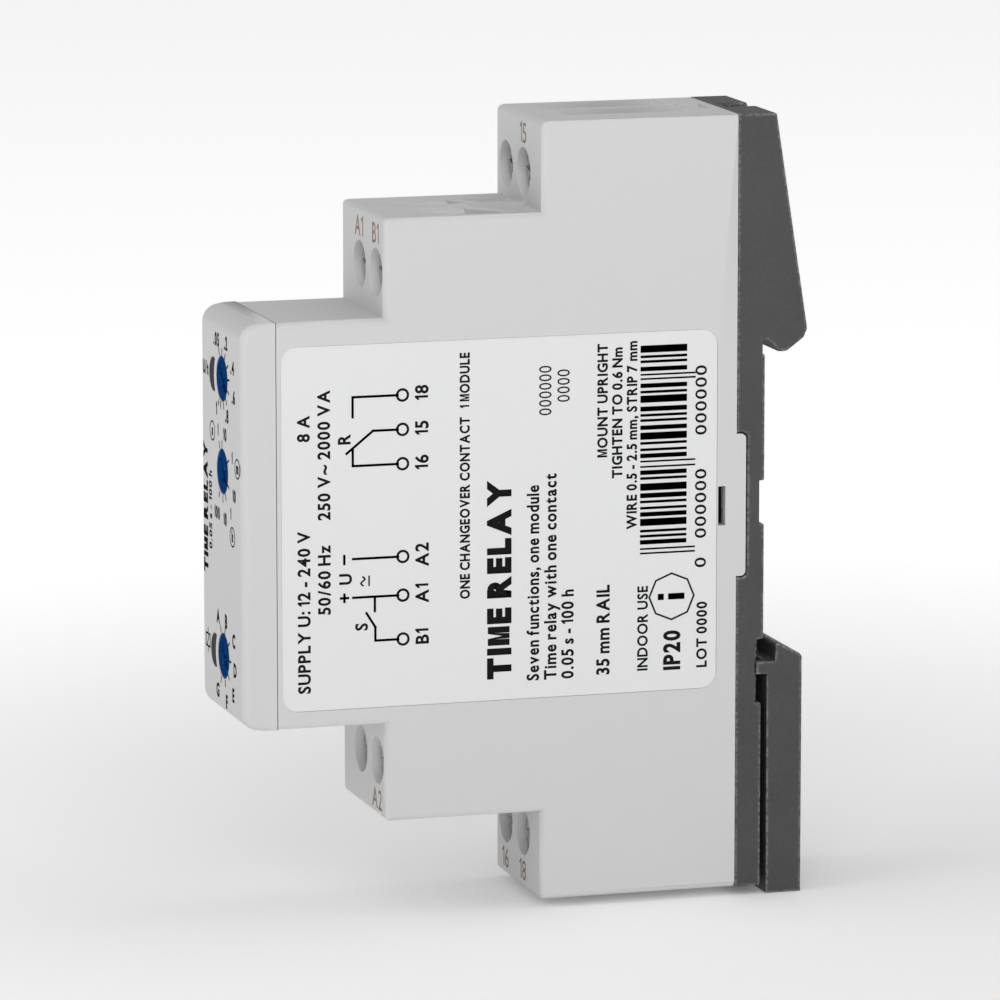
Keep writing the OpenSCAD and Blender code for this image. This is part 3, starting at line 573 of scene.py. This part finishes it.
class Print:
    """Ink laid on a flat face: x runs along the reading direction and y up, in millimetres."""

    def __init__(self, origin, across, up):
        self.shape = bmesh.new()
        normal = across.cross(up)
        self.place = Matrix.Translation(origin) @ Matrix((across, up, normal)).transposed().to_4x4()

    def put(self, flat):
        """Adds a flat shape, given thickness, in its place."""
        skin = [f for f in flat.faces]
        bmesh.ops.solidify(flat, geom=skin, thickness=print_t)
        top = max(v.co.z for v in flat.verts)
        bmesh.ops.translate(flat, verts=flat.verts, vec=(0, 0, print_t - top))
        bmesh.ops.recalc_face_normals(flat, faces=flat.faces)
        bmesh.ops.transform(flat, matrix=self.place, verts=flat.verts)
        made = bpy.data.meshes.new("ink")
        flat.to_mesh(made)
        flat.free()
        self.shape.from_mesh(made)
        bpy.data.meshes.remove(made)

    def letter(self, char, height, weight):
        """One letter of the built-in typeface as a flat mesh; 1 and M are cut as plain outlines."""
        if char in "1M":
            flat = bmesh.new()
            s = 0.11 + 2 * weight / height
            if char == "1":
                outline = [(0.34 - s, 0), (0.34, 0), (0.34, 1), (0.34 - 0.8 * s, 1),
                           (0, 0.8), (0, 0.8 - s), (0.34 - s, 1 - 1.5 * s)]
            else:
                outline = [(0, 0), (s, 0), (s, 0.72), (0.43 - 0.4 * s, 0), (0.43 + 0.4 * s, 0),
                           (0.86 - s, 0.72), (0.86 - s, 0), (0.86, 0), (0.86, 1),
                           (0.86 - 1.1 * s, 1), (0.43, 0.34), (1.1 * s, 1), (0, 1)]
            flat.faces.new([flat.verts.new((x * height * MM, y * height * MM, 0))
                            for x, y in outline])
            made = bpy.data.meshes.new("letter")
            flat.to_mesh(made)
            flat.free()
            return made
        curve = bpy.data.curves.new("letter", "FONT")
        curve.body = char
        curve.size = height / CAP_SHARE * MM
        curve.offset = weight * MM
        curve.resolution_u = 3
        holder = bpy.data.objects.new("letter", curve)
        made = bpy.data.meshes.new_from_object(holder)
        bpy.data.objects.remove(holder)
        bpy.data.curves.remove(curve)
        return made

    def words(self, text, x, y, height, squeeze=1.0, weight=0.09, align="CENTER"):
        """Letters whose capitals are height tall, centred on y, squeezed across by a factor."""
        gap = 0.13 * height * MM
        flat = bmesh.new()
        pen = 0
        for char in text:
            if char == " ":
                pen += 0.32 * height * MM
                continue
            made = self.letter(char, height, weight)
            start = len(flat.verts)
            flat.from_mesh(made)
            bpy.data.meshes.remove(made)
            flat.verts.ensure_lookup_table()
            new = flat.verts[start:]
            left, right = min(v.co.x for v in new), max(v.co.x for v in new)
            bmesh.ops.translate(flat, verts=new, vec=(pen - left, 0, 0))
            pen += right - left + gap
        bmesh.ops.remove_doubles(flat, verts=flat.verts, dist=0.001 * MM)
        back = {"CENTER": (pen - gap) / 2, "LEFT": 0, "RIGHT": pen - gap}[align]
        move = (Matrix.Translation((x * MM, (y - height / 2) * MM, 0))
                @ Matrix.Diagonal((squeeze, 1, 1, 1)) @ Matrix.Translation((-back, 0, 0)))
        bmesh.ops.transform(flat, matrix=move, verts=flat.verts)
        self.put(flat)

    def line(self, points, width):
        """A line of a given width through points, with square joints."""
        for (x0, y0), (x1, y1) in zip(points, points[1:]):
            a, b = Vector((x0, y0, 0)) * MM, Vector((x1, y1, 0)) * MM
            along = (b - a).normalized() * width / 2 * MM
            side = Vector((-along.y, along.x, 0))
            flat = bmesh.new()
            corners = [a - along - side, b + along - side, b + along + side, a - along + side]
            flat.faces.new([flat.verts.new(c) for c in corners])
            self.put(flat)

    def ring(self, x, y, radius, width, segments=32):
        """A circle line."""
        flat = bmesh.new()
        bmesh.ops.create_circle(flat, segments=segments, radius=(radius + width / 2) * MM)
        outer = list(flat.edges)
        inner = bmesh.ops.create_circle(flat, segments=segments, radius=(radius - width / 2) * MM)
        rims = outer + list({e for v in inner["verts"] for e in v.link_edges})
        bmesh.ops.bridge_loops(flat, edges=rims)
        bmesh.ops.translate(flat, verts=flat.verts, vec=(x * MM, y * MM, 0))
        self.put(flat)

    def patch(self, x0, y0, x1, y1):
        """A filled rectangle."""
        flat = bmesh.new()
        corners = [(x0, y0, 0), (x1, y0, 0), (x1, y1, 0), (x0, y1, 0)]
        flat.faces.new([flat.verts.new(Vector(c) * MM) for c in corners])
        self.put(flat)


across_x, up_z = Vector((1, 0, 0)), Vector((0, 0, 1))


def knob_axis(setting):
    """Middle of a knob on the front face, in millimetres."""
    low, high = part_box(setting + "_rotor")
    return (low.x + high.x) / 2 / MM, (low.z + high.z) / 2 / MM


def ticks(ink, centre, angles, start, end, width):
    """Short radial lines round a knob, at clock angles in degrees."""
    for angle in angles:
        a = math.radians(angle)
        ink.line([(centre[0] + r * math.sin(a), centre[1] + r * math.cos(a)) for r in (start, end)],
                 width)


face_ink = Print(Vector((0, cap_low.y + print_t, 0)), across_x, up_z)
tick_w = 0.24

time_at = knob_axis("time")
ticks(face_ink, time_at, [-20, 5, 30, 57, 85, 112, 139, 164, 189, 205], 2.75, 3.35, tick_w)
for words, dx, dy in ((".05", -2.2, 4.1), (".2", 1.9, 4.2), (".4", 4.7, 1.9), (".6", 5.1, -1.3),
                      (".8", 2.2, -3.8), ("1", -2.3, -3.6)):
    face_ink.words(words, time_at[0] + dx, time_at[1] + dy, 1.45, squeeze=0.85)
face_ink.words("U/t", time_at[0] - 7.0, time_at[1] + 0.3, 1.45, squeeze=0.72)

range_at = knob_axis("range")
ticks(face_ink, range_at, [-22, 0], 2.75, 3.35, tick_w)
ticks(face_ink, range_at, [60, 115], 2.75, 3.35, tick_w)
ticks(face_ink, range_at, [150, 175, 205], 2.75, 3.35, tick_w)
for words, dx, dy in (("1", -1.7, 4.4), ("10", 1.3, 4.3), ("1", 4.4, 2.2), ("10", 5.2, -1.9),
                      ("1", 3.7, -4.1), ("10", 1.2, -5.1), ("100", -2.3, -4.9)):
    face_ink.words(words, range_at[0] + dx, range_at[1] + dy, 1.35, squeeze=0.8)
for words, dx, dy in (("s", -4.2, 3.9), ("m", 6.6, 1.3), ("h", 4.3, -6.6)):
    face_ink.ring(range_at[0] + dx, range_at[1] + dy, 1.05, 0.18)
    face_ink.words(words, range_at[0] + dx, range_at[1] + dy + 0.12, 1.2, squeeze=0.8)

function_at = knob_axis("function")
ticks(face_ink, function_at, [-20, 15, 55, 92, 130, 165, 200], 2.75, 3.35, tick_w)
for words, dx, dy in (("A", -2.2, 4.1), ("B", 1.3, 4.1), ("C", 4.6, 2.5), ("D", 5.1, -0.7),
                      ("E", 4.3, -3.6), ("F", 1.4, -4.9), ("G", -2.5, -4.2)):
    face_ink.words(words, function_at[0] + dx, function_at[1] + dy, 1.5, squeeze=0.85)
coil_x, coil_z = function_at[0] - 6.7, function_at[1] + 0.6
face_ink.line([(coil_x - 0.9, coil_z - 0.7), (coil_x + 0.9, coil_z - 0.7),
               (coil_x + 0.9, coil_z + 0.7), (coil_x - 0.9, coil_z + 0.7),
               (coil_x - 0.9, coil_z - 0.7)], 0.2)
face_ink.line([(coil_x - 0.5, coil_z - 0.7), (coil_x + 0.5, coil_z + 0.7)], 0.2)
face_ink.line([(coil_x, coil_z + 0.7), (coil_x, coil_z + 1.3)], 0.2)
face_ink.line([(coil_x, coil_z - 0.7), (coil_x, coil_z - 1.3)], 0.2)
edge_ink = Print(Vector((0, cap_low.y + print_t, 0)), up_z, Vector((-1, 0, 0)))
edge_ink.words("TIME RELAY", 0, 6.9, 1.7, squeeze=0.95, weight=0.15)
edge_ink.words("0.05 s - 100 h", 0, 4.75, 1.2, squeeze=0.9, weight=0.06)
finished("edge_printing", edge_ink.shape, "timer", ink_black)
finished("dial_printing", face_ink.shape, "timer", ink_black)

mark_height = 2.3
mark_gap = 1.68
for step, marks in (("inner", (("a1", "A1"), ("b1", "B1"), ("a2", "A2"))),
                    ("outer", (("15", "15"), ("16", "16"), ("18", "18")))):
    step_y = {"inner": -43.8, "outer": -25.9}[step] * MM
    step_ink = Print(Vector((0, step_y, 0)), across_x, up_z)
    for terminal, number in marks:
        low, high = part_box("screw_" + terminal)
        x, z = (low.x + high.x) / 2 / MM, (low.z + high.z) / 2 / MM
        step_ink.words(number, x, z + math.copysign(2.62 + mark_gap, z), mark_height,
                       squeeze=1.0, weight=0.02)
    finished(step + "_terminal_numbers", step_ink.shape, "timer", ink_warm)


# ---- Rating label ----
# A satin film label sits in its recess on the right-hand side. It is printed in black with the
# terminal diagram, ratings and a bar code, and everything reads upwards.

label_white = (0.71, 0.715, 0.713, 1)
label_film = moulded("label_film", label_white, 0.34, tone=0.01, fleck=0.012, spread=0.04,
                     grain=3000, depth=0.006)
label_spread = 0.08 * MM  # takes up the gap round the film
label_low, label_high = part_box("rating_label")
label_middle = (label_low + label_high) / 2
label_shape = cad_shape("rating_label")
for v in label_shape.verts:
    for way in (1, 2):
        reach = (label_high[way] - label_low[way]) / 2
        v.co[way] += (v.co[way] - label_middle[way]) / reach * label_spread
label = finished("rating_label_film", label_shape, "timer", label_film,
                 ["rating_label"])
rounded(label, lambda edge: 0.03 * MM, 0.03 * MM, segments=1)

label_ink = Print(Vector((label_high.x, label_low.y, 0)), up_z, Vector((0, -1, 0)))


def column(distance):
    """Height on the label of a line printed at a distance from its front edge."""
    return -distance


rule_w = 0.27
for words, z, distance, height, align in (
        ("SUPPLY U: 12 - 240 V", -18.6, 2.4, 1.4, "LEFT"), ("50/60 Hz", -2.2, 4.7, 1.4, "RIGHT"),
        ("8 A", 12.2, 2.4, 1.4, "RIGHT"), ("250 V~ 2000 VA", 14.9, 4.7, 1.4, "RIGHT"),
        ("R", 9.4, 7.0, 1.4, "CENTER"), ("S", -11.5, 8.9, 1.4, "CENTER"),
        ("U", -6.1, 7.1, 1.4, "CENTER"),
        ("18", 14.2, 15.8, 1.5, "CENTER"), ("15", 10.3, 15.8, 1.5, "CENTER"),
        ("16", 6.5, 15.8, 1.5, "CENTER"), ("A2", -3.8, 15.8, 1.5, "CENTER"),
        ("A1", -8.1, 15.8, 1.5, "CENTER"), ("B1", -12.9, 15.8, 1.5, "CENTER")):
    label_ink.words(words, z, column(distance), height, 0.95, weight=0.055, align=align)
for words, z, distance, height, squeeze, weight in (
        ("ONE CHANGEOVER CONTACT   1 MODULE", -9.0, 20.7, 1.1, 0.84, 0.055),
        ("TIME RELAY", -18.2, 24.6, 2.5, 0.98, 0.22),
        ("Seven functions, one module", -18.6, 28.5, 1.4, 0.86, 0.055),
        ("Time relay with one contact", -18.6, 30.5, 1.4, 0.9, 0.055),
        ("0.05 s - 100 h", -18.6, 32.5, 1.4, 0.9, 0.055),
        ("000000", 11.0, 29.9, 1.5, 0.85, 0.0), ("0000", 12.4, 32.0, 1.5, 0.85, 0.0),
        ("35 mm RAIL", -18.4, 36.6, 1.5, 0.9, 0.06),
        ("MOUNT UPRIGHT", 6.0, 36.5, 1.15, 0.92, 0.055),
        ("TIGHTEN TO 0.6 Nm", 3.6, 38.2, 1.15, 0.92, 0.055),
        ("WIRE 0.5 - 2.5 mm, STRIP 7 mm", -2.2, 39.9, 1.15, 0.9, 0.055),
        ("INDOOR USE", -18.2, 41.2, 1.2, 0.92, 0.045), ("IP20", -18.3, 44.6, 1.9, 0.85, 0.1),
        ("LOT 0000", -18.2, 48.1, 1.2, 0.95, 0.05)):
    label_ink.words(words, z, column(distance), height, squeeze, weight=weight, align="LEFT")

code_bars = (0.2, 0.2, 0.5, 0.3, 0.3, 0.8, 0.5, 0.3, 0.3, 0.55, 0.8, 0.3, 0.5)
code_gaps = (0.3, 0.4, 0.28, 0.28, 0.42, 0.25)
code_start, code_end = -5.1, 19.2
bar_z, bar_number = code_start, 0
while bar_z < code_end - 0.6:
    bar = code_bars[bar_number % len(code_bars)]
    guard = bar_number % len(code_bars) < 2
    label_ink.patch(bar_z, column(47.3 if guard else 46.3), min(bar_z + bar, code_end),
                    column(40.9))
    bar_z += bar + code_gaps[bar_number % len(code_gaps)]
    bar_number += 1
for figures, z in (("0", -6.9), ("000000", -3.6), ("000000", 8.0)):
    label_ink.words(figures, z, column(47.9), 1.35, 1.28, weight=0.02, align="LEFT")

sign_at, sign_r = (-10.0, 44.6), 2.6
label_ink.ring(sign_at[0], column(sign_at[1]), sign_r, 0.22, segments=8)
label_ink.patch(sign_at[0] - 0.35, column(sign_at[1] + 1.5), sign_at[0] + 0.35,
                column(sign_at[1] - 0.4))
label_ink.patch(sign_at[0] - 0.35, column(sign_at[1] - 0.9), sign_at[0] + 0.35,
                column(sign_at[1] - 1.6))

wave = [(-5.9 + 0.12 * i - 1, column(9.1) + 0.22 * math.sin(i * math.pi / 4)) for i in range(9)]
label_ink.line(wave, 0.18)
label_ink.line([(-6.9, column(9.8)), (-5.9, column(9.8))], 0.18)
for z, reach in ((14.0, 8.0), (10.2, 10.3), (6.4, 8.0), (-3.9, 8.0), (-8.2, 8.0), (-13.1, 10.5)):
    label_ink.ring(z, column(13.65), 0.62, rule_w)
    label_ink.line([(z, column(13.1)), (z, column(reach))], rule_w)
label_ink.line([(14.0, column(8.0)), (11.8, column(8.0))], rule_w)
label_ink.line([(10.2, column(10.3)), (7.8, column(7.3))], rule_w)
label_ink.line([(6.4, column(8.0)), (8.2, column(8.0))], rule_w)
label_ink.line([(-8.2, column(10.45)), (-9.8, column(10.45))], rule_w)
label_ink.line([(-13.1, column(10.5)), (-11.6, column(10.5)), (-10.0, column(9.5))], rule_w)
label_ink.line([(-4.4, column(7.0)), (-3.5, column(7.0))], rule_w)
label_ink.line([(-8.6, column(7.0)), (-7.8, column(7.0))], rule_w)
label_ink.line([(-8.2, column(6.6)), (-8.2, column(7.4))], rule_w)
finished("label_printing", label_ink.shape, "timer", ink_black)


# ---- Light guides and lamps ----
# Smoky clear guides carry the light of the green supply lamp and the red relay lamp to the windows
# in the cap. The lamps are small resin blocks on the front board.

slot_of = {part["node"]: part["material_slot"] for part in frame["record"]["subparts"]}
replaced = {n for o in bpy.data.objects for n in o.get("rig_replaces", [])}


def dress(slot, material):
    """Puts a finish on every CAD piece of a slot that no finished piece stands in for."""
    for node, part in frame["nodes"].items():
        if slot_of[node] == slot and node not in replaced:
            part.data.materials.clear()
            part.data.materials.append(material)


guide_plastic = moulded("light_guide_plastic", (0.028, 0.027, 0.026, 1), 0.3, depth=0.01)
guide_plastic.node_tree.nodes["Principled BSDF"].inputs["IOR"].default_value = 1.05
dress("light_guide", guide_plastic)
dress("led_green", moulded("led_green_resin", (0.05, 0.4, 0.1, 1), 0.15, depth=0.01))
dress("led_red", moulded("led_red_resin", (0.5, 0.03, 0.02, 1), 0.15, depth=0.01))


# ---- Clamp terminals ----
# Eight zinc-plated steel screws lift pressed clamp cages against brass tongues. The relay's iron
# parts have the same plating, and its contact blades the same brass.


def bare_metal(name, colour, roughness, **grain):
    """A bare or plated metal finish."""
    material = moulded(name, colour, roughness, **grain)
    material.node_tree.nodes["Principled BSDF"].inputs["Metallic"].default_value = 1
    return material


dress("plated_steel", bare_metal("plated_steel", (0.46, 0.46, 0.45, 1), 0.34, tone=0.15,
                                 fleck=0.2, depth=0.04))
dress("contact_brass", bare_metal("contact_brass", (0.72, 0.5, 0.22, 1), 0.3, tone=0.1,
                                  fleck=0.1, depth=0.02))


# ---- Boards and setting trimmers ----
# Two green laminate boards carry black moulded circuits and the three blue trimmers, whose ivory
# rotors are what the knobs turn.

dress("board_green", moulded("board_laminate", (0.02, 0.11, 0.045, 1), 0.35, tone=0.15,
                             fleck=0.15, grain=1800, depth=0.05))
dress("moulding_black", moulded("black_moulding", (0.02, 0.02, 0.02, 1), 0.5, fleck=0.3))
dress("trimmer_blue", moulded("trimmer_case", (0.02, 0.11, 0.42, 1), 0.4, fleck=0.1))
dress("rotor_ivory", moulded("rotor_resin", (0.62, 0.52, 0.36, 1), 0.45, fleck=0.08))


# ---- Relay and transformer ----
# The relay's coil is enamelled copper wire on an ivory bobbin under a dark case. The supply's small
# transformer is wound on a dull black ferrite core.

dress("relay_shell", moulded("relay_case", (0.1, 0.12, 0.14, 1), 0.35, fleck=0.1))
dress("bobbin_ivory", moulded("bobbin_resin", (0.72, 0.68, 0.55, 1), 0.45, fleck=0.08))
dress("winding", moulded("enamelled_wire", (0.36, 0.12, 0.04, 1), 0.3, tone=0.2, fleck=0.3,
                         depth=0.3))
dress("ferrite", moulded("ferrite_core", (0.06, 0.06, 0.062, 1), 0.45, tone=0.15, fleck=0.3))


# ---- Small components ----
# Capacitors in sleeves, a yellow film case, a dipped disc and lacquered resistors stand on the
# boards by their leads.

dress("film_yellow", moulded("film_case", (0.7, 0.5, 0.05, 1), 0.3, fleck=0.06))
dress("sleeve_blue", moulded("blue_sleeve", (0.01, 0.03, 0.16, 1), 0.3, fleck=0.1))
dress("sleeve_black", moulded("black_sleeve", (0.012, 0.012, 0.014, 1), 0.3, fleck=0.1))
dress("coating_blue", moulded("dipped_coating", (0.05, 0.2, 0.45, 1), 0.35, tone=0.2, fleck=0.2,
                              depth=0.2))
dress("resistor_body", moulded("resistor_lacquer", (0.42, 0.28, 0.16, 1), 0.4, fleck=0.1))
